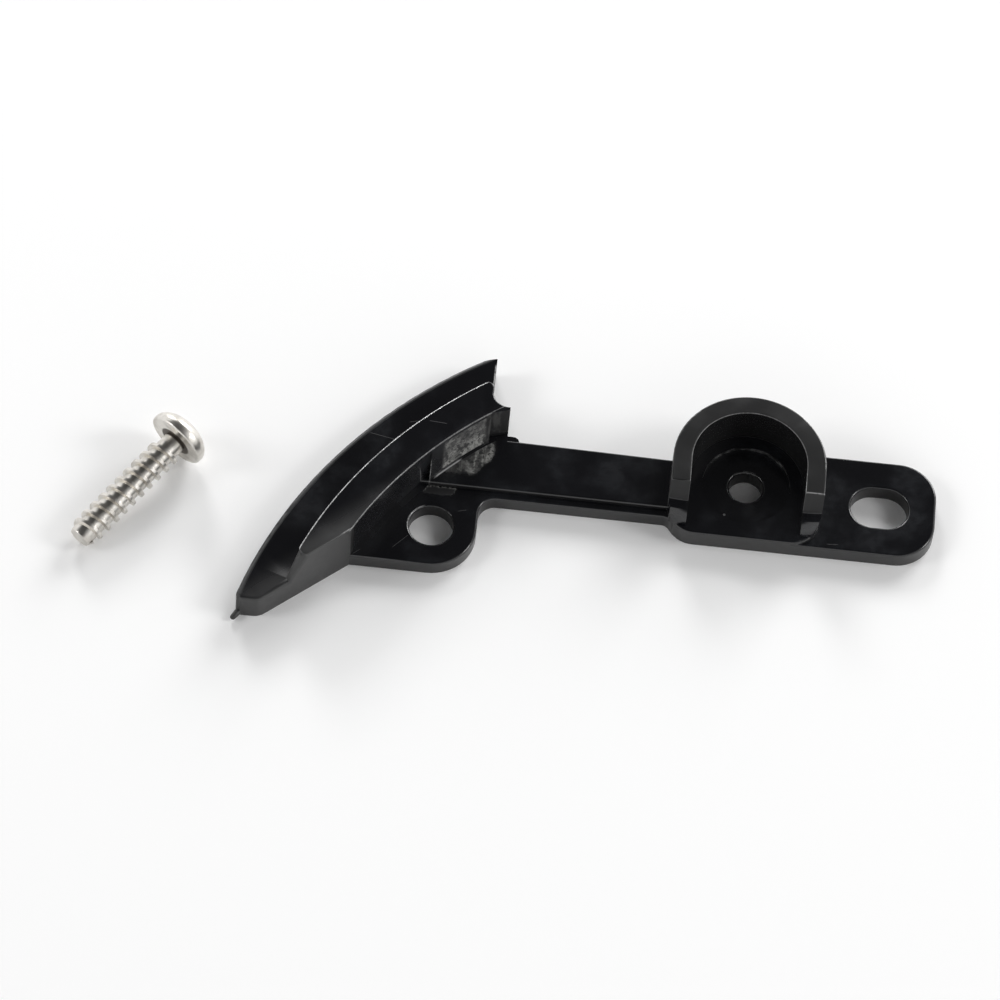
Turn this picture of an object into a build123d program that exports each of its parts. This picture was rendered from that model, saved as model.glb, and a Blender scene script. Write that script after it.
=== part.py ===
from build123d import *
import os
from math import asin, cos, radians, sin, tan

# A spare latch for a stair gate: a one-piece moulded arm and the screw that it turns on.
# Millimetres. The origin is on the axis of the screw hole, at the arm's flat underside. +X runs along
# the arm to its tongue, the head lies towards -X, the catch holds a keeper on the +Y side, and +Z is up.

# Levels of the moulding above its underside
plate_thickness = 2.1
tongue_thickness = 2.3
raised_height = 2.8
flange_height = 3.9
wall_height = 8.2
collar_height = 8.3

# Head: concentric arcs, cut straight along the front and at the catch
front_corner_x = -47.6
front_angle = 40.7
catch_x = -32.15
catch_root_y = 3.15
head_inner_radius = 54.5
head_wall = 4.2
flange_width = 5.3
tip_y = -24.4
tip_corner_radius = 0.8
tip_front_radius = 2.2
nose_radius = 0.85
nose_foot_radius = 0.5
catch_trim = 0.7
catch_trim_angle = 15.0
catch_corner_radius = 0.7
ridge_foot_width = 0.55
ridge_foot_overlap = 0.06
rough_pad_start_x = -38.9
rough_pad_foot = 0.7

# Beak: a thin lip past the catch, under a round notch
beak_reach = 2.25
beak_y = 3.9
beak_thickness = 0.45
notch_radius = 2.0

# Stub of the moulding gate on the tip of the head
gate_stub_length = 1.0
gate_stub_base_radius = 0.5
gate_stub_end_radius = 0.35
gate_stub_height = 0.55
gate_stub_heading = -122.0

# Tab with a round hole
tab_hole_x = -38.1
tab_hole_y = -10.1
tab_hole_diameter = 5.5
tab_eye_radius = 5.6
tab_root_radius = 2.2

# Arm: a raised rib on a plate that shows as a ledge along its front
arm_rear_y = 2.55
arm_rear_rise = 0.35
rib_front_y = -4.35
ledge_width = 1.0
rear_step_length = 1.5
rear_step_width = 1.0
rear_step_radius = 0.8

# Collar: a horseshoe wall on a pad, open to the front
collar_outer_radius = 9.45
collar_wall = 2.4
collar_leg = 3.7
leg_slope = 0.7
leg_ramp_radius = 2.2
pad_front = 7.65
pad_corner_radius = 3.5
pad_root_radius = 1.2
seat_diameter = 10.9
seat_depth = 0.5
pivot_clearance = 0.15

# Tongue with an oblong hole
tongue_rear_y = 5.75
tongue_end_x = 23.6
tongue_corner_radius = 4.8
slot_x = 16.65
slot_length = 7.2
slot_width = 5.7

# Rounded edges of the moulding
edge_radius = 0.3
flange_edge_radius = 0.45
rim_edge_radius = 0.2

# Screw: thread-forming, pan head, blunt tip, lying on the same surface as the arm
thread_diameter = 3.9
core_diameter = 2.9
thread_pitch = 1.5
thread_crest = 0.3
thread_root = 0.85
thread_overlap = 0.15
shank_length = 17.4
neck_length = 1.0
tip_lead = 1.3
tip_diameter = 2.7
head_diameter = 7.7
head_height = 2.7
head_rim_height = 0.7
head_edge_radius = 0.3
recess_width = 1.1
recess_span = 3.8
recess_depth = 1.6
screw_tip_x = -80.6
screw_tip_y = -17.0
screw_heading = 54.2

# Worked out from the sizes above
tab_front_y = tab_hole_y - tab_eye_radius
tab_right_x = tab_hole_x + tab_eye_radius
ledge_front_y = rib_front_y - ledge_width
rib_middle_y = (rib_front_y + arm_rear_y) / 2
head_middle_radius = head_inner_radius + head_wall / 2
head_ridge_radius = head_inner_radius + head_wall
head_outer_radius = head_ridge_radius + flange_width
beak_x = catch_x + beak_reach
beak_top = beak_y + beak_thickness
wall_slope_top = wall_height - 2 * rim_edge_radius
arm_rear_head_y = arm_rear_y + arm_rear_rise
collar_inner_radius = collar_outer_radius - collar_wall
slot_y = (tongue_rear_y - pad_front) / 2
far = 3 * head_outer_radius

front_corner = Vector(front_corner_x, tab_front_y)
catch_root = Vector(catch_x, catch_root_y)
chord = catch_root - front_corner
across_chord = Vector(chord.Y, -chord.X).normalized()
centre_offset = (head_inner_radius**2 - (chord.length / 2) ** 2) ** 0.5
head_centre = (front_corner + catch_root) * 0.5 + across_chord * centre_offset
catch_tip_y = head_centre.Y + (head_outer_radius**2 - (catch_x - head_centre.X) ** 2) ** 0.5


def disc(radius, centre):
    return Pos(centre.X, centre.Y) * Circle(radius)


def box_plan(low_x, low_y, high_x, high_y):
    return Pos((low_x + high_x) / 2, (low_y + high_y) / 2) * Rectangle(high_x - low_x, high_y - low_y)


def corner_near(plan, point):
    return plan.vertices().sort_by_distance(point)[0]


def slab(plan, height, radius):
    """A prism of the plan, from the underside up, with its top edges rounded."""
    block = extrude(plan, height)
    return fillet(block.faces().sort_by(Axis.Z)[-1].edges(), radius)


def front_cut():
    """Everything behind the straight front face of the head, as a large plan."""
    along = Vector(cos(radians(front_angle)), sin(radians(front_angle)))
    back = Vector(-along.Y, along.X)
    low = front_corner - along * far
    high = front_corner + along * far
    return make_face(Polyline(low, high, high + back * far, low + back * far, close=True))


def head_plan(inner_radius, outer_radius):
    """Arc band about the head's centre, cut straight at the front and at the catch."""
    band = disc(outer_radius, head_centre) - disc(inner_radius, head_centre)
    return band & front_cut() & box_plan(-far, -far, catch_x, far)


def rounded_head_plan(inner_radius, outer_radius, nose):
    """The same band, with its nose and its corner at the catch rounded."""
    plan = head_plan(inner_radius, outer_radius)
    plan = fillet(plan.vertices().sort_by(Axis.X)[0], nose)
    return fillet(plan.vertices().sort_by(Axis.Y)[-1], catch_corner_radius)


def catch_trim_plan():
    """Everything beyond the straight line that blunts the flange's corner at the catch."""
    edge_y = catch_tip_y - catch_trim
    drop = far * tan(radians(catch_trim_angle))
    outline = [(catch_x, edge_y), (catch_x, far), (catch_x - far, far), (catch_x - far, edge_y - drop)]
    return make_face(Polyline(outline, close=True))


def head_flange():
    """Lead-in flange: the low outer band, blunt at the tip and at the catch."""
    plan = head_plan(head_inner_radius, head_outer_radius) - catch_trim_plan()
    plan = plan & box_plan(-far, tip_y, far, far)
    plan = fillet(plan.vertices().sort_by(Axis.X)[0], tip_corner_radius)
    plan = fillet(plan.vertices().group_by(Axis.Y)[0].sort_by(Axis.X)[-1], tip_front_radius)
    tip_arc = plan.edges().filter_by(GeomType.CIRCLE).sort_by(Axis.X)[0]
    block = extrude(plan, flange_height)
    lead_in_edge = block.faces().sort_by(Axis.Z)[-1].edges().sort_by(SortBy.LENGTH)[-1]
    return fillet(lead_in_edge, flange_edge_radius) + gate_stub(tip_arc.arc_center)


def gate_stub(tip_centre):
    """Broken-off stub where the plastic entered the mould, tapering from inside the tip to a round end."""
    heading = Vector(cos(radians(gate_stub_heading)), sin(radians(gate_stub_heading)), 0)
    root = Vector(tip_centre.X, tip_centre.Y, gate_stub_height)
    length = tip_corner_radius + gate_stub_length
    cone = Cone(
        gate_stub_base_radius,
        gate_stub_end_radius,
        length,
        align=(Align.CENTER, Align.CENTER, Align.MIN),
    )
    round_end = Pos(0, 0, length) * Sphere(gate_stub_end_radius)
    return Plane(origin=root, z_dir=heading) * (cone + round_end)


def beak_plan():
    """Thin lip past the catch: a straight inner face, and a hollow quarter round on its outer side."""
    notch_start = (catch_x + notch_radius, beak_top)
    notch_end = (catch_x, beak_top + notch_radius)
    return make_face(
        [
            Polyline(notch_end, catch_root, (beak_x, beak_y), (beak_x, beak_top), notch_start),
            RadiusArc(notch_start, notch_end, notch_radius),
        ]
    )


def head_rib():
    """Tall curved wall behind the flange, ending in the beak, with its three long top edges rounded."""
    plan = rounded_head_plan(head_inner_radius, head_ridge_radius, nose_radius) + beak_plan()
    block = extrude(plan, wall_height)
    front, inner, outer = block.faces().sort_by(Axis.Z)[-1].edges().sort_by(SortBy.LENGTH)[-3:]
    return fillet([front, inner, outer], rim_edge_radius)


def ridge_foot():
    """Sloping foot that carries the tall wall's outer face down onto the flange."""
    foot_radius = head_ridge_radius + ridge_foot_width
    foot_plan = rounded_head_plan(head_middle_radius, foot_radius, nose_foot_radius)
    top_plan = rounded_head_plan(head_middle_radius, head_ridge_radius - ridge_foot_overlap, nose_radius)
    slope = loft([Pos(0, 0, flange_height) * foot_plan, Pos(0, 0, wall_slope_top) * top_plan], ruled=True)
    return slope + extrude(foot_plan, flange_height)


def rough_pad():
    """Wedge on the inner face of the tall wall, beside the beak, that stands out towards its foot."""
    foot = head_inner_radius - rough_pad_foot
    profile = Polyline(
        (head_middle_radius, 0),
        (foot, 0),
        (foot, raised_height),
        (head_inner_radius, wall_slope_top),
        (head_middle_radius, wall_slope_top),
        close=True,
    )
    ring = Pos(head_centre.X, head_centre.Y) * revolve(Plane.XZ * make_face(profile), Axis.Z)
    return ring & extrude(box_plan(rough_pad_start_x, rib_front_y, catch_x, far), wall_height)


def head_side(plan):
    """Keeps the part of a plan that reaches from the arm into the middle of the head's wall."""
    return plan & disc(head_middle_radius, head_centre)


def tab_and_ledge():
    """Thin plate: the tab with its hole, and the ledge in front of the arm's rib."""
    outline = FilletPolyline(
        (-far, tab_front_y),
        (tab_right_x, tab_front_y),
        (tab_right_x, ledge_front_y),
        (-collar_inner_radius, ledge_front_y),
        (-collar_inner_radius, rib_middle_y),
        (-far, rib_middle_y),
        radius=[0, tab_eye_radius, tab_root_radius, 0, 0, 0],
        close=True,
    )
    hole = Pos(tab_hole_x, tab_hole_y) * Circle(tab_hole_diameter / 2)
    plate = extrude(head_side(make_face(outline)) - hole, plate_thickness)
    top_arcs = plate.faces().sort_by(Axis.Z)[-1].edges().filter_by(GeomType.CIRCLE)
    hole_and_eye = top_arcs.sort_by_distance((tab_hole_x, tab_hole_y, plate_thickness))[:2]
    return fillet(hole_and_eye, edge_radius)


def arm_rib():
    """Raised bar from the head to the collar, filled out to the foot of the beak."""
    outline = Polyline(
        (-far, rib_front_y),
        (-collar_inner_radius, rib_front_y),
        (-collar_inner_radius, arm_rear_y),
        (beak_x, arm_rear_head_y),
        (beak_x, beak_y),
        (-far, beak_y),
        close=True,
    )
    bar = extrude(head_side(make_face(outline)), raised_height)
    top_lines = bar.faces().sort_by(Axis.Z)[-1].edges().filter_by(GeomType.LINE)
    front_and_rear = top_lines.sort_by(SortBy.LENGTH)[-2:]
    return fillet(front_and_rear, edge_radius)


def rear_step():
    """Low rounded step behind the arm, at the foot of the beak."""
    step_end = beak_x + rear_step_length
    step_rear = arm_rear_head_y + rear_step_width
    plan = box_plan(beak_x - edge_radius, arm_rear_y - edge_radius, step_end, step_rear)
    plan = fillet(corner_near(plan, (step_end, step_rear)), rear_step_radius)
    return extrude(plan, plate_thickness)


def horseshoe_plan(radius, front):
    """Half a disc behind the screw hole's axis, carried straight forward."""
    return (Circle(radius) & box_plan(-radius, 0, radius, radius)) + box_plan(-radius, -front, radius, 0)


def pad_plan():
    """Round at the back, square with rounded corners at the front."""
    plan = horseshoe_plan(collar_outer_radius, pad_front)
    return fillet(plan.vertices().group_by(Axis.Y)[0], pad_corner_radius)


def collar_pad():
    return slab(pad_plan(), raised_height, edge_radius)


def pad_root():
    """The pad's outline joined to the arm's ledge by a hollow fillet."""
    ledge_start = -collar_outer_radius - 2 * pad_root_radius
    plan = pad_plan() + box_plan(ledge_start, ledge_front_y, 0, 0)
    plan = fillet(corner_near(plan, (-collar_outer_radius, ledge_front_y)), pad_root_radius)
    return slab(plan, plate_thickness, edge_radius)


def collar():
    """Horseshoe wall whose legs run down to the pad in a steep slope and a rounded foot."""
    foot_y = -collar_leg - leg_slope - leg_ramp_radius
    pocket = horseshoe_plan(collar_inner_radius, far)
    ring = pad_plan() & box_plan(-far, foot_y, far, far)
    wall = extrude(ring - pocket, collar_height)
    slope_top = (-collar_leg, collar_height)
    slope_foot = (-collar_leg - leg_slope, raised_height + leg_ramp_radius)
    ramp_foot = (foot_y, raised_height)
    profile = [
        Line(slope_top, slope_foot),
        RadiusArc(slope_foot, ramp_foot, -leg_ramp_radius),
        Line(ramp_foot, (-far, raised_height)),
        Line((-far, raised_height), (-far, collar_height)),
        Line((-far, collar_height), slope_top),
    ]
    relief = extrude(Plane.YZ * make_face(profile), far, both=True)
    wall = wall - relief
    return fillet(wall.faces().sort_by(Axis.Z)[-1].edges(), rim_edge_radius)


def tongue():
    """Flat tail with an oblong hole, carried under the pad's side."""
    plan = box_plan(0, -pad_front, tongue_end_x, tongue_rear_y)
    plan = fillet(plan.vertices().group_by(Axis.X)[-1], tongue_corner_radius)
    plan = plan - Pos(slot_x, slot_y) * SlotOverall(slot_length, slot_width)
    return slab(plan, tongue_thickness, edge_radius)


def latch_arm():
    pivot_hole_radius = thread_diameter / 2 + pivot_clearance
    seat_height = raised_height - seat_depth
    body = head_flange() + head_rib() + ridge_foot() + rough_pad()
    body = body + tab_and_ledge() + arm_rib() + rear_step()
    body = body + collar_pad() + pad_root() + collar() + tongue()
    seat = Pos(0, 0, seat_height) * extrude(Circle(seat_diameter / 2), seat_depth)
    hole = extrude(Circle(pivot_hole_radius), raised_height)
    bevel = Cone(pivot_hole_radius, pivot_hole_radius + edge_radius, edge_radius)
    bevel = Pos(0, 0, seat_height - edge_radius / 2) * bevel
    return body - seat - hole - bevel


def screw_thread():
    """One trapezoid ridge wound round the core, a little deep and high, from the tip to the neck."""
    core = core_diameter / 2 - thread_overlap
    crest = thread_diameter / 2 + thread_overlap
    length = shank_length - neck_length - thread_root
    section = make_face(
        Polyline(
            (core, -thread_root / 2),
            (crest, -thread_crest / 2),
            (crest, thread_crest / 2),
            (core, thread_root / 2),
            close=True,
        )
    )
    helix = Helix(thread_pitch, length, core)
    ridge = sweep(Plane.XZ * section, path=helix, is_frenet=True)
    return Pos(0, 0, thread_root / 2) * ridge


def screw_envelope():
    """Outer form of the shank: a blunt tip that widens to the thread's full size."""
    profile = Polyline(
        (0, 0),
        (tip_diameter / 2, 0),
        (thread_diameter / 2, tip_lead),
        (thread_diameter / 2, shank_length),
        (0, shank_length),
        close=True,
    )
    return revolve(Plane.XZ * make_face(profile), Axis.Z)


def screw_head():
    """Pan head with a domed top and a cross recess."""
    quarter_turn = 90.0
    rim = head_diameter / 2
    dome = head_height - head_rim_height
    seat = rim - head_edge_radius
    profile = [
        Line((0, 0), (seat, 0)),
        RadiusArc((seat, 0), (rim, head_edge_radius), -head_edge_radius),
        Line((rim, head_edge_radius), (rim, head_rim_height)),
        EllipticalCenterArc((0, head_rim_height), rim, dome, start_angle=0, arc_size=quarter_turn),
        Line((0, head_height), (0, 0)),
    ]
    head = revolve(Plane.XZ * make_face(profile), Axis.Z)
    bar = Box(recess_span, recess_width, recess_depth, align=(Align.CENTER, Align.CENTER, Align.MAX))
    cross = Pos(0, 0, head_height) * (bar + Rot(0, 0, quarter_turn) * bar)
    return Pos(0, 0, shank_length) * (head - cross)


def fixing_screw():
    """The screw at rest on its side: it touches the surface at its head's rim and near its tip."""
    core = extrude(Circle(core_diameter / 2), shank_length)
    shank = (core + screw_thread()) & screw_envelope()
    screw = shank + screw_head()
    rise = (head_diameter - thread_diameter) / 2
    tilt = asin(rise / (shank_length - tip_lead))
    heading = radians(screw_heading)
    axis = Vector(cos(tilt) * cos(heading), cos(tilt) * sin(heading), sin(tilt))
    tip_height = thread_diameter / 2 * cos(tilt) - tip_lead * sin(tilt)
    return Plane(origin=(screw_tip_x, screw_tip_y, tip_height), z_dir=axis) * screw


os.makedirs("parts", exist_ok=True)
for name, make in (("latch_arm", latch_arm), ("fixing_screw", fixing_screw)):
    piece = make()
    piece.label = name
    export_step(piece, f"parts/{name}.step")
    print(name, "solids", len(piece.solids()), "volume", round(piece.volume, 1))
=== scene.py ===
from math import atan2, cos, hypot, radians, sin
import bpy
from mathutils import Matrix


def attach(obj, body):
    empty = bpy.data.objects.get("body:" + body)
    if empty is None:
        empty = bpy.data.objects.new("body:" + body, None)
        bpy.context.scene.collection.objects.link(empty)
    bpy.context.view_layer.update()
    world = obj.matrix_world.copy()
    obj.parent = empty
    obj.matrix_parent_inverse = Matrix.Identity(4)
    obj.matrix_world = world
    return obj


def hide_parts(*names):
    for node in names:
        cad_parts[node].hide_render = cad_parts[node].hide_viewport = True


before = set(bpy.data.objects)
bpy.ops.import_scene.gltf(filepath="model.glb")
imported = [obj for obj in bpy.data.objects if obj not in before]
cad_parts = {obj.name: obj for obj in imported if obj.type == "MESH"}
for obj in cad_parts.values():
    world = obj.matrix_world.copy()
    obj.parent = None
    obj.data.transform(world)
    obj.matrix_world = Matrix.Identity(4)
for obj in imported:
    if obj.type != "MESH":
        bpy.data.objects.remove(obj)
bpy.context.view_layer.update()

from types import SimpleNamespace

import bpy
import numpy as np
from mathutils import Matrix, Vector


# Latch arm
# The latch itself, one injection moulding in hard black plastic, which turns on the fixing screw. Its broad
# faces come from polished steel and are glossy, while its sides, the collar's rim and a pad beside the catch
# keep the tool's spark finish.

def seamless_mesh(node, crease_degrees, corner_degrees):
    """
    The solid's triangles with equal points joined, smooth except at edges past the crease angle and at long
    upright corners past the corner angle.
    """
    grain = 1e-7
    long_corner = 1e-3
    steepest_lean = 0.1
    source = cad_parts[node].data
    points = np.empty(3 * len(source.vertices))
    corners = np.empty(len(source.loops), dtype=np.int64)
    source.vertices.foreach_get("co", points)
    source.loops.foreach_get("vertex_index", corners)
    joined, place = np.unique(np.round(points.reshape(-1, 3) / grain), axis=0, return_inverse=True)
    triangles = place.reshape(-1)[corners].reshape(-1, 3)
    whole = (triangles != np.roll(triangles, 1, axis=1)).all(axis=1)
    mesh = bpy.data.meshes.new(node)
    mesh.from_pydata(joined * grain, [], triangles[whole])
    mesh.shade_smooth()
    ends = np.empty(2 * len(mesh.edges), dtype=np.int64)
    mesh.edges.foreach_get("vertices", ends)
    span = np.abs(joined[ends[1::2]] - joined[ends[0::2]]) * grain
    upright = span[:, 2] > np.maximum(long_corner, np.hypot(span[:, 0], span[:, 1]) / steepest_lean)
    sharp = {}
    for degrees in (crease_degrees, corner_degrees):
        mesh.set_sharp_from_angle(angle=radians(degrees))
        sharp[degrees] = np.empty(len(mesh.edges), dtype=bool)
        mesh.edges.foreach_get("use_edge_sharp", sharp[degrees])
    mesh.edges.foreach_set("use_edge_sharp", sharp[crease_degrees] | sharp[corner_degrees] & upright)
    return mesh


def dressed_piece(node, name, body, material, crease_degrees, corner_degrees=30.0):
    """A smooth-shaded copy of a solid, whose flat faces stay flat next to their rounded edges."""
    piece = bpy.data.objects.new(name, seamless_mesh(node, crease_degrees, corner_degrees))
    bpy.context.scene.collection.objects.link(piece)
    piece.data.materials.append(material)
    even = piece.modifiers.new("even_faces", "WEIGHTED_NORMAL")
    even.keep_sharp = True
    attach(piece, body)
    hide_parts(node)
    return piece


class Wire:
    """One socket of a node tree. Arithmetic on it adds Math nodes, and node() adds any other kind."""

    def __init__(self, tree, socket=None):
        self.tree = tree
        self.socket = socket

    def node(self, kind, settings, sockets, output=0):
        """Adds a node: its settings first, then a value or a link for each socket."""
        made = self.tree.nodes.new(kind)
        for name, value in settings.items():
            setattr(made, name, value)
        for key, value in sockets.items():
            if isinstance(value, Wire):
                self.tree.links.new(value.socket, made.inputs[key])
            else:
                made.inputs[key].default_value = value
        return made if output is None else Wire(self.tree, made.outputs[output])

    def math(self, operation, first, second=0.0):
        return self.node("ShaderNodeMath", {"operation": operation}, {0: first, 1: second})

    def __add__(self, other):
        return self.math("ADD", self, other)

    def __radd__(self, other):
        return self.math("ADD", other, self)

    def __sub__(self, other):
        return self.math("SUBTRACT", self, other)

    def __rsub__(self, other):
        return self.math("SUBTRACT", other, self)

    def __mul__(self, other):
        return self.math("MULTIPLY", self, other)

    def __rmul__(self, other):
        return self.math("MULTIPLY", other, self)

    def __pow__(self, other):
        return self.math("POWER", self, other)

    def either(self, other):
        return self.math("MAXIMUM", self, other)

    def rise(self, low, high):
        """0 below low, 1 above high, and a soft step between them."""
        settings = {"interpolation_type": "SMOOTHSTEP"}
        return self.node("ShaderNodeMapRange", settings, {"Value": self, "From Min": low, "From Max": high})

    def within(self, low, high, soft):
        """1 between two values, with soft steps about each of them."""
        return self.rise(low - soft, low + soft) * (1.0 - self.rise(high - soft, high + soft))

    def near(self, value, reach):
        """1 at a value, falling to 0 at a reach to either side of it."""
        return 1.0 - self.math("ABSOLUTE", self - value).rise(0.0, reach)

    def mix(self, first, second):
        """The first colour where this wire is 0, and the second where it is 1."""
        return self.node("ShaderNodeMix", {"data_type": "RGBA"}, {0: self, 6: first, 7: second}, 2)


def new_finish(name, shader_values):
    """An empty material with its shader's fixed values, and a wire to start its nodes from."""
    material = bpy.data.materials.new(name)
    material.use_nodes = True
    tree = material.node_tree
    tree.nodes.clear()
    start = Wire(tree)
    shader = start.node("ShaderNodeBsdfPrincipled", {}, shader_values)
    start.node("ShaderNodeOutputMaterial", {}, {"Surface": shader}, None)
    return material, start, shader


def feed(shader, **wires):
    """Links wires to the shader's sockets, whose names are given with _ for a space."""
    for name, wire in wires.items():
        wire.tree.links.new(wire.socket, shader.socket.node.inputs[name.replace("_", " ")])


def place_on_piece(start):
    """Object coordinates in millimetres, whole and then as x, y and z."""
    metres = start.node("ShaderNodeTexCoord", {}, {}, "Object")
    place = start.node("ShaderNodeVectorMath", {"operation": "SCALE"}, {0: metres, "Scale": 1000.0})
    return place, *(start.node("ShaderNodeSeparateXYZ", {}, {0: place}, axis) for axis in "XYZ")


def noise(start, place, scale, detail):
    return start.node("ShaderNodeTexNoise", {}, {"Vector": place, "Scale": scale, "Detail": detail})


def distance(x, y, centre):
    """How far a place lies from a point of the plan, in millimetres."""
    return ((x - centre[0]) ** 2.0 + (y - centre[1]) ** 2.0) ** 0.5


def scratch(x, y, ends, width):
    """A hairline between two points of the plan, in millimetres."""
    (start_x, start_y), (end_x, end_y) = ends
    length = hypot(end_x - start_x, end_y - start_y)
    turn = atan2(end_y - start_y, end_x - start_x)
    along = (x - start_x) * cos(turn) + (y - start_y) * sin(turn)
    across = (y - start_y) * cos(turn) - (x - start_x) * sin(turn)
    return across.near(0.0, width) * along.within(0.0, length, 0.2)


head_centre_mm = (1.21, -39.95)
head_end_mm = -30.5
front_corner_mm = (-47.6, -15.7)
front_angle_degrees = 40.7
collar_start_mm = -10.0
pivot_mm = (0.0, 0.0)


def places_on_arm(start):
    """Where a point lies on the arm, in millimetres, and how far its surface faces up."""
    place, x, y, z = place_on_piece(start)
    normal = start.node("ShaderNodeTexCoord", {}, {}, "Normal")
    facing_up = start.node("ShaderNodeSeparateXYZ", {}, {0: normal}, "Z")
    front_turn = radians(front_angle_degrees)
    return SimpleNamespace(
        place=place,
        x=x,
        y=y,
        z=z,
        facing_up=facing_up,
        upright=1.0 - facing_up.rise(0.3, 0.9),
        from_centre=distance(x, y, head_centre_mm),
        behind_front=(y - front_corner_mm[1]) * cos(front_turn) - (x - front_corner_mm[0]) * sin(front_turn),
        on_head=1.0 - x.rise(head_end_mm - 0.5, head_end_mm + 0.5),
        on_collar=x.rise(collar_start_mm, collar_start_mm + 0.1),
        from_pivot=distance(x, y, pivot_mm),
        collar_round=distance(x, y.either(0.0), pivot_mm),
    )


streak_stretch = (2.6, 0.5, 0.6)


def grain_of_arm(start, place):
    """Uneven gloss, orange peel, spark grain, blotches, streaks across the arm, and flecks."""
    drawn_out = start.node("ShaderNodeVectorMath", {"operation": "MULTIPLY"}, {0: place, 1: streak_stretch})
    return SimpleNamespace(
        cloud=noise(start, place, 0.16, 4.0),
        peel=noise(start, place, 1.6, 2.0),
        spark=noise(start, place, 3.4, 3.0),
        patch=noise(start, place, 0.9, 3.0),
        streak=noise(start, drawn_out, 0.9, 3.0),
        fleck=noise(start, place, 2.0, 1.0),
    )


arm_top_mm = 2.8
pad_foot_mm = 53.8
wall_inner_mm = 54.5
flange_outer_mm = 64.0
catch_end_mm = -32.15
nose_fade_mm = (0.3, 4.2)
front_fade_mm = (-52.0, -46.0)
collar_inner_mm = 7.05
collar_top_mm = 8.3
leg_end_mm = (-7.0, -3.5)
leg_foot_mm = (-7.0, -4.5)
leg_foot_height_mm = 2.2


def tool_finish(at):
    """Masks of the faces, by the finish that the steel of the tool left on them, and of the head's nose and
    front face, which get a painted reflection.
    """
    in_collar = at.on_collar * (1.0 - at.collar_round.rise(collar_inner_mm, collar_inner_mm + 0.1))
    in_collar = in_collar * at.z.rise(arm_top_mm + 0.05, arm_top_mm + 0.15)
    inner_wall = at.on_head * at.from_centre.within(pad_foot_mm - 0.2, wall_inner_mm + 0.2, 0.05)
    inner_wall = inner_wall * (1.0 - at.x.rise(catch_end_mm - 0.65, catch_end_mm - 0.35))
    inner_wall = inner_wall * at.behind_front.rise(0.2, 0.4)
    leg_foot = at.z.within(arm_top_mm + 0.05, arm_top_mm + leg_foot_height_mm, 0.05)
    leg_foot = leg_foot * at.on_collar * at.y.within(*leg_foot_mm, 0.05)
    side = at.upright * (1.0 - in_collar) * (1.0 - inner_wall) * (1.0 - leg_foot)
    leg_end = side * at.z.within(arm_top_mm + 0.1, collar_top_mm - 0.1, 0.05)
    leg_end = leg_end * at.on_collar * at.y.within(*leg_end_mm, 0.1)
    nose = at.on_head * (1.0 - at.behind_front.rise(*nose_fade_mm))
    front = at.on_head * (1.0 - at.behind_front.rise(0.1, 0.4))
    return SimpleNamespace(
        in_collar=in_collar,
        inner_wall=inner_wall,
        side=side,
        leg_end=leg_end,
        rim=at.on_collar * at.z.rise(collar_top_mm - 0.15, collar_top_mm - 0.05),
        nose=nose * at.from_centre.rise(wall_inner_mm, wall_inner_mm + 0.3),
        front=front * (1.0 - at.x.rise(*front_fade_mm)),
        lead_in=at.on_head * at.from_centre.rise(flange_outer_mm - 0.8, flange_outer_mm - 0.4),
    )


wall_top_mm = 8.2
pad_x_mm = (-37.5, -32.6)
beak_end_mm = -29.9


def frosted_pad(at, grain, speckled):
    """The pad on the wall, pale with frosting, brightest along its foot, and the streaked face beside it."""
    above_arm = at.upright * at.z.rise(arm_top_mm + 0.3, arm_top_mm + 0.45)
    pad = above_arm * at.from_centre.within(pad_foot_mm - 0.2, wall_inner_mm - 0.02, 0.02)
    pad = pad * at.x.within(*pad_x_mm, 0.25)
    low = 1.0 - at.z.rise(arm_top_mm + 0.8, wall_top_mm - 1.6)
    tone = speckled * (0.35 + 0.65 * grain.patch.rise(0.4, 0.6)) * (0.45 + 0.55 * low)
    beside = above_arm * at.from_centre.within(pad_foot_mm - 0.2, wall_inner_mm + 0.1, 0.02)
    beside = beside * at.x.within(pad_x_mm[1], beak_end_mm, 0.3)
    beside_tone = 0.24 * grain.streak.rise(0.48, 0.62)
    return pad.either(0.5 * beside), (pad * tone).either(beside * beside_tone)


# Where the pad's reflection is painted on the arm's top below it.
pad_reflection_left_mm = (-38.2, -36.8)
pad_reflection_right_mm = (-31.7, -31.1)
pad_reflection_front_mm = (-3.0, -2.3)
pad_reflection_corner_mm = (-33.0, -2.0)
pad_reflection_slant = (0.81, -0.584)
pad_reflection_bright_mm = (-35.4, -33.4)


def painted_pad_reflection(at, grain, speckled, ragged):
    """The painted reflection of the pad on the arm's top at the pad's foot, with its front corner cut off at
    a slant.
    """
    past_corner = pad_reflection_slant[0] * (at.x - pad_reflection_corner_mm[0])
    past_corner = past_corner + pad_reflection_slant[1] * (at.y - pad_reflection_corner_mm[1]) + ragged
    mark = (at.y + ragged).rise(*pad_reflection_front_mm) * (1.0 - past_corner.rise(-0.3, 0.3))
    mark = mark * at.x.rise(*pad_reflection_left_mm) * (1.0 - (at.x + ragged).rise(*pad_reflection_right_mm))
    mark = mark * (1.0 - at.from_centre.rise(pad_foot_mm - 0.3, pad_foot_mm - 0.15))
    mark = mark * at.z.near(arm_top_mm, 0.2)
    tone = 0.3 + 0.7 * grain.streak.rise(0.42, 0.58)
    tone = speckled * tone * (0.4 + 0.6 * at.x.rise(*pad_reflection_bright_mm))
    return 0.85 * mark, mark * tone


tab_top_mm = 2.1
tab_scuff_x_mm = (-38.8, -35.3)
tab_scuff_y_mm = (-5.6, -4.5)
tab_scuff_lean = 0.5
tab_scuff_level_mm = -4.1


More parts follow.
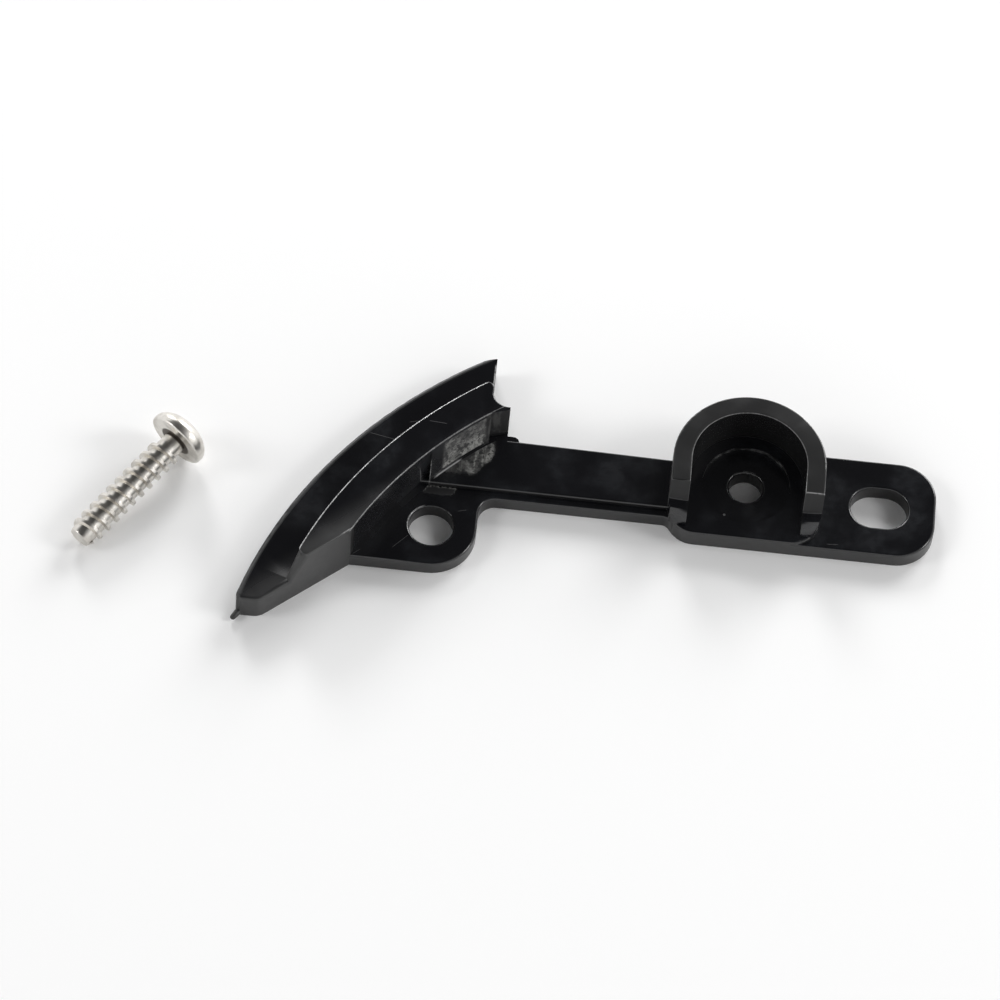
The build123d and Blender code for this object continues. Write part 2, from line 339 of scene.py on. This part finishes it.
def tab_scuff(at, grain, ragged):
    """The leaning scuff on the tab, grey inside a pale and broken edge."""
    leaning = at.x - tab_scuff_lean * (at.y - tab_scuff_level_mm) + 0.7 * ragged
    mark = (at.y + 0.5 * ragged).within(*tab_scuff_y_mm, 0.22) * leaning.within(*tab_scuff_x_mm, 0.22)
    mark = mark * at.z.near(tab_top_mm, 0.2)
    edge = mark * (1.0 - mark) * 4.0 * grain.spark.rise(0.35, 0.6)
    edge = edge * at.y.rise(tab_scuff_y_mm[0] - 0.1, tab_scuff_y_mm[0] + 0.6)
    return (0.7 * mark).either(edge), 0.6 * edge


def frost_and_pad_reflection(at, grain):
    """Where the plastic is pale with frosting and where the pad's reflection is painted on the arm, and how
    pale each is there.
    """
    speckled = (0.1 + 0.9 * grain.fleck.rise(0.38, 0.46)) * (0.5 + 0.5 * grain.spark.rise(0.43, 0.55))
    ragged = 0.9 * (grain.patch - 0.5)
    frost_and_reflection, tone = frosted_pad(at, grain, speckled)
    for more, more_tone in (painted_pad_reflection(at, grain, speckled, ragged), tab_scuff(at, grain, ragged)):
        frost_and_reflection = frost_and_reflection.either(more)
        tone = tone.either(more_tone)
    return frost_and_reflection, tone


wall_ridge_mm = 58.7
flange_top_mm = 3.9
witness_mm = -38.9
foot_line_x_mm = (-38.2, -35.4)
catch_line_y_mm = (9.7, 12.9)
front_line_mm = (54.6, 55.1)


def head_lines(at):
    """Painted highlights on the wall's top edges, worn pale in part, on the flange's edge at the catch, and
    on the witness line of the tool.
    """
    wall_edge = at.z.rise(wall_top_mm - 0.3, wall_top_mm - 0.1) * (1.0 - at.on_collar)
    ridge_line = at.from_centre.near(wall_ridge_mm - 0.1, 0.13)
    inner_line = at.from_centre.near(wall_inner_mm + 0.05, 0.1)
    front_line = at.behind_front.near(0.15, 0.1) * at.from_centre.within(*front_line_mm, 0.2)
    catch_line = at.x.near(catch_end_mm - 0.1, 0.16) * at.y.within(*catch_line_y_mm, 0.3)
    catch_line = catch_line * at.z.near(flange_top_mm, 0.2)
    witness = at.x.near(witness_mm, 0.12) * at.from_centre.within(pad_foot_mm - 0.2, wall_inner_mm, 0.1)
    witness = witness * at.z.within(tab_top_mm + 0.2, wall_top_mm - 2.0, 0.4)
    lines = ridge_line.either(0.4 * inner_line).either(0.6 * front_line) * wall_edge
    return lines.either(0.8 * catch_line).either(0.5 * witness)


def pad_foot_highlight(at):
    """A painted highlight along the left half of the pad's foot."""
    line = at.from_centre.near(pad_foot_mm - 0.12, 0.16) * at.z.near(arm_top_mm, 0.15)
    return line * at.x.within(*foot_line_x_mm, 0.3)


collar_leg_mm = -3.7
right_leg_x_mm = (5.0, 6.0)
right_leg_y_mm = (-0.5, 1.0)


def collar_lines(at):
    """Painted highlights on the inner edge of the collar's rim, stronger on the right leg, and on the edge
    at that leg's end.
    """
    right_leg = at.x.rise(*right_leg_x_mm) * (1.0 - at.y.rise(*right_leg_y_mm))
    edge = at.on_collar * at.collar_round.near(collar_inner_mm + 0.05, 0.09)
    edge = edge * at.z.rise(collar_top_mm - 0.2, collar_top_mm)
    end = right_leg * at.y.near(collar_leg_mm + 0.1, 0.12)
    end = end * at.z.rise(collar_top_mm - 0.3, collar_top_mm - 0.1)
    return (edge * (0.3 + 0.4 * right_leg)).either(0.5 * end)


tab_hole_mm = (-38.1, -10.1)
tab_hole_edge_mm = 2.9
pivot_edge_mm = 2.3
seat_edge_mm = 5.45


def hole_lines(at, patch):
    """Painted highlights on the edge at the left of the tab's hole, and broken ones behind the pivot hole
    and its seat.
    """
    tab_line = distance(at.x, at.y, tab_hole_mm).near(tab_hole_edge_mm, 0.16) * at.z.near(tab_top_mm, 0.2)
    tab_line = tab_line * (1.0 - at.x.rise(tab_hole_mm[0] - 1.7, tab_hole_mm[0] - 0.8))
    tab_line = tab_line * at.y.rise(tab_hole_mm[1] - 1.1, tab_hole_mm[1] - 0.3)
    pivot_line = at.from_pivot.near(pivot_edge_mm, 0.14).either(at.from_pivot.near(seat_edge_mm, 0.12))
    pivot_line = pivot_line * at.y.rise(0.4, 1.6) * at.z.near(arm_top_mm - 0.3, 0.6)
    return (0.5 * tab_line).either(0.14 * pivot_line * patch.rise(0.4, 0.56))


# Place of a pale speck near the pivot.
pale_speck_mm = (-2.4, -4.3)


def painted_highlights_and_wear(at, grain):
    """Painted highlights along edges and hole rims, some edges also worn pale by use, and a pale speck."""
    speckle = 0.35 + 0.65 * (0.5 * grain.spark + 0.5 * grain.patch).rise(0.42, 0.58)
    broken = head_lines(at).either(collar_lines(at)).either(hole_lines(at, grain.patch)) * speckle
    pale_speck = 1.0 - (distance(at.x, at.y, pale_speck_mm) ** 2.0).rise(0.015, 0.035)
    return broken.either(pad_foot_highlight(at)).either(pale_speck * at.z.near(arm_top_mm, 0.7))


scratch_width_mm = 0.08
scratches_mm = [
    ((-42.5, -13.8), (-40.8, -11.9)),
    ((-47.2, -15.3), (-46.4, -14.6)),
    ((-35.0, -7.7), (-34.0, -7.4)),
    ((-46.75, 1.2), (-43.7, 0.6)),
    ((-42.1, 3.35), (-40.4, 3.8)),
    ((-39.6, 1.1), (-37.5, 0.95)),
    ((10.5, -7.0), (11.8, -6.9)),
]


def hairlines(at):
    """Scratches on the faces that look up."""
    marks = scratch(at.x, at.y, scratches_mm[0], scratch_width_mm)
    for ends in scratches_mm[1:]:
        marks = marks.either(scratch(at.x, at.y, ends, scratch_width_mm))
    return marks * at.facing_up.rise(0.7, 0.9) * at.z.rise(tab_top_mm - 0.6, tab_top_mm - 0.5)


arm_black = (0.0042, 0.0043, 0.0055, 1.0)
handled_black = (0.0092, 0.01, 0.0122, 1.0)
arm_satin_grey = (0.009, 0.009, 0.0094, 1.0)
# Grey painted on the head's front face and nose as their reflection.
painted_reflection_grey = (0.04, 0.04, 0.04, 1.0)
# Frosting colours, also used for the pad's painted reflection on the arm.
frost_and_reflection_grey = (0.018, 0.018, 0.019, 1.0)
frost_and_reflection_white = (0.34, 0.34, 0.325, 1.0)
scratch_grey = (0.04, 0.04, 0.041, 1.0)
# White of the painted edge highlights, also of edges worn pale.
highlight_and_wear_white = (0.62, 0.62, 0.62, 1.0)


def black_plastic():
    """Glossy black, greyer where handled, with the tool's satin faces, frosting, scratches, painted
    reflections, and painted highlights on edges that are partly worn pale.
    """
    material, start, shader = new_finish("black_plastic", {"IOR": 1.62})
    at = places_on_arm(start)
    grain = grain_of_arm(start, at.place)
    tool = tool_finish(at)
    frost_and_reflection, frost_and_reflection_tone = frost_and_pad_reflection(at, grain)
    marks = hairlines(at)
    satin = tool.side.either(tool.rim).either(tool.in_collar)
    blotched = grain.patch.rise(0.35, 0.65)
    handled = grain.cloud.rise(0.46, 0.66) * (0.4 + 0.6 * blotched)
    # Painted reflection: grey on the head's front face and nose.
    painted_front_reflection = 0.6 * tool.nose * (0.4 + grain.cloud)
    painted_front_reflection = painted_front_reflection.either(tool.front * (0.7 + 0.5 * blotched * grain.cloud))

    colour = satin.mix(handled.mix(arm_black, handled_black), arm_satin_grey)
    colour = painted_front_reflection.mix(colour, painted_reflection_grey)
    # Frosting, and the pad's reflection painted on the arm below it.
    colour = frost_and_reflection.mix(colour, frost_and_reflection_tone.mix(frost_and_reflection_grey, frost_and_reflection_white))
    colour = marks.mix(colour, scratch_grey)
    # Painted highlights on edges and hole rims, partly worn pale, and a pale speck.
    colour = painted_highlights_and_wear(at, grain).mix(colour, highlight_and_wear_white)
    roughness = 0.1 + 0.14 * grain.cloud + 0.05 * handled
    roughness = roughness + tool.inner_wall * 0.08 + tool.side * 0.15 + tool.rim * 0.14 + tool.leg_end * 0.5
    roughness = roughness + tool.nose * 0.2 + tool.lead_in * 0.3 + frost_and_reflection * 0.3 + marks * 0.2
    height = grain.peel * 0.2 + grain.spark * (satin * 0.5 + frost_and_reflection * 2.0)
    bump = start.node("ShaderNodeBump", {}, {"Strength": 0.3, "Distance": 3e-5, "Height": height})
    feed(shader, Base_Color=colour, Roughness=roughness, Normal=bump)
    return material


arm_crease_degrees = 78.0
dressed_piece("latch_arm", "moulded_arm", "arm", black_plastic(), arm_crease_degrees)


# Fixing screw
# The pivot: a pan-head thread-forming screw with a blunt tip, cold-headed and rolled from steel wire and
# plated with bright nickel. It lies loose on the table beside the arm.

nickel_light = (0.76, 0.735, 0.69, 1.0)
nickel_dull = (0.58, 0.555, 0.51, 1.0)
# Painted shade for the corner under the head.
painted_neck_shade = (0.12, 0.105, 0.09, 1.0)
screw_tip_mm = (-80.6, -17.0, 1.783)
screw_heading_degrees = 54.2
screw_tilt_degrees = 6.777
head_seat_mm = 17.4
neck_radius_mm = 1.45


def nickel_plate():
    """Bright nickel with duller clouds and fine dents, and painted shade in the corner under the head."""
    material, start, shader = new_finish("nickel_plate", {"Metallic": 1.0})
    place, x, y, z = place_on_piece(start)
    cloud = noise(start, place, 0.7, 4.0)
    grain = noise(start, place, 9.0, 3.0)
    dents = noise(start, place, 2.2, 2.0)

    # Painted shade, dark in the corner between the neck and the head
    heading = radians(screw_heading_degrees)
    tilt = radians(screw_tilt_degrees)
    axis = Vector((cos(heading) * cos(tilt), sin(heading) * cos(tilt), sin(tilt)))
    across = [value - start_value for value, start_value in zip((x, y, z), screw_tip_mm)]
    along = across[0] * axis.x + across[1] * axis.y + across[2] * axis.z
    square = across[0] ** 2.0 + across[1] ** 2.0 + across[2] ** 2.0
    radius = (square - along ** 2.0) ** 0.5
    corner = along.within(head_seat_mm - 0.3, head_seat_mm + 0.1, 0.1)
    corner = corner * (1.0 - radius.rise(neck_radius_mm + 0.55, neck_radius_mm + 0.85))

    colour = cloud.rise(0.35, 0.7).mix(nickel_light, nickel_dull)
    colour = corner.mix(colour, painted_neck_shade)
    roughness = 0.24 + 0.12 * cloud + 0.2 * corner
    height = grain * 0.4 + dents * 3.0
    bump = start.node("ShaderNodeBump", {}, {"Strength": 0.3, "Distance": 2e-5, "Height": height})
    feed(shader, Base_Color=colour, Roughness=roughness, Normal=bump)
    return material


screw_crease_degrees = 30.0
dressed_piece(
    "fixing_screw", "pan_head_screw", "gate_side", nickel_plate(), screw_crease_degrees
)


# Table
# A plain white table top, with a soft sheen and no pattern.

table_reach = 3.0
table_white = (0.94, 0.94, 0.94, 1.0)
table_shade = (0.92, 0.92, 0.925, 1.0)
table_seen = (1.0, 1.0, 1.0, 1.0)


def table_finish():
    """White with a faint drift of tone, and plain white where it is seen or mirrored."""
    material, start, shader = new_finish("table_white", {"Roughness": 0.65})
    place = start.node("ShaderNodeTexCoord", {}, {}, "Object")
    drift = noise(start, place, 9.0, 2.0)
    colour = drift.rise(0.35, 0.65).mix(table_white, table_shade)
    rays = ("Is Camera Ray", "Is Glossy Ray", "Is Transmission Ray")
    camera, glossy, through = (start.node("ShaderNodeLightPath", {}, {}, ray) for ray in rays)
    feed(shader, Base_Color=camera.either(glossy).either(through).mix(colour, table_seen))
    return material


table_mesh = bpy.data.meshes.new("table")
table_corners = np.array([(-1, -1, 0), (1, -1, 0), (1, 1, 0), (-1, 1, 0)]) * table_reach
table_mesh.from_pydata(table_corners, [], [(0, 1, 2, 3)])
table_mesh.materials.append(table_finish())
table = bpy.data.objects.new("table", table_mesh)
bpy.context.scene.collection.objects.link(table)


# Light
# Soft lamps behind the arm and to its sides, in a room that is pale low down and to the right and dim
# overhead, where the flat faces mirror it towards the camera.

lit_point = Vector((-0.025, 0.0, 0.0))


def lamp(name, bearing, height, distance, size, watts):
    """A square soft lamp, at a bearing clockwise from straight behind and a height, both in degrees."""
    away = Vector((
        sin(radians(bearing)) * cos(radians(height)),
        cos(radians(bearing)) * cos(radians(height)),
        sin(radians(height)),
    ))
    data = bpy.data.lights.new(name, "AREA")
    data.size = size
    data.energy = watts
    light = bpy.data.objects.new(name, data)
    light.location = lit_point + away * distance
    light.rotation_euler = away.to_track_quat("Z", "Y").to_euler()
    bpy.context.scene.collection.objects.link(light)


lamp("lamp_rear_right", 30.0, 24.0, 2.0, 0.9, 23.0)
lamp("lamp_right", 90.0, 34.0, 2.0, 0.6, 9.5)
lamp("lamp_left", -100.0, 34.0, 2.0, 0.6, 7.0)
lamp("lamp_rear_left", -18.0, 25.0, 2.0, 0.5, 12.0)

room_low = (0.95, 0.95, 0.95, 1.0)
room_right = (0.34, 0.34, 0.34, 1.0)
room_dim = (0.04, 0.04, 0.04, 1.0)
room = bpy.data.worlds.new("room")
room.use_nodes = True
room.node_tree.nodes.clear()
room_start = Wire(room.node_tree)
direction = room_start.node("ShaderNodeTexCoord", {}, {}, "Generated")
across = room_start.node("ShaderNodeSeparateXYZ", {}, {0: direction}, "X")
climb = room_start.node("ShaderNodeSeparateXYZ", {}, {0: direction}, "Z")
room_high = across.rise(0.23, 0.47).mix(room_dim, room_right)
room_colour = climb.rise(0.45, 0.75).mix(room_low, room_high)
background = room_start.node("ShaderNodeBackground", {}, {"Color": room_colour, "Strength": 1.0})
room_start.node("ShaderNodeOutputWorld", {}, {"Surface": background}, None)
bpy.context.scene.world = room
bpy.context.scene.view_settings.view_transform = "Standard"


# Camera
# Held in front of the arm and above it, turned a little, with a long lens.

camera_height = radians(58.0)
camera_roll = radians(6.0)
camera_place = Vector((-0.03002, -0.3965, 0.6279))

toward_camera = Vector((0.0, -cos(camera_height), sin(camera_height)))
level_right = Vector((1.0, 0.0, 0.0))
level_up = Vector((0.0, sin(camera_height), cos(camera_height)))
camera_right = level_right * cos(camera_roll) + level_up * sin(camera_roll)
camera_up = level_up * cos(camera_roll) - level_right * sin(camera_roll)

lens = bpy.data.cameras.new("camera")
lens.sensor_width = 36.0
lens.lens = 216.0
lens.clip_start = 0.01
camera = bpy.data.objects.new("camera", lens)
turn = Matrix((camera_right, camera_up, toward_camera)).transposed().to_4x4()
camera.matrix_world = Matrix.Translation(camera_place) @ turn
bpy.context.scene.collection.objects.link(camera)
bpy.context.scene.camera = camera
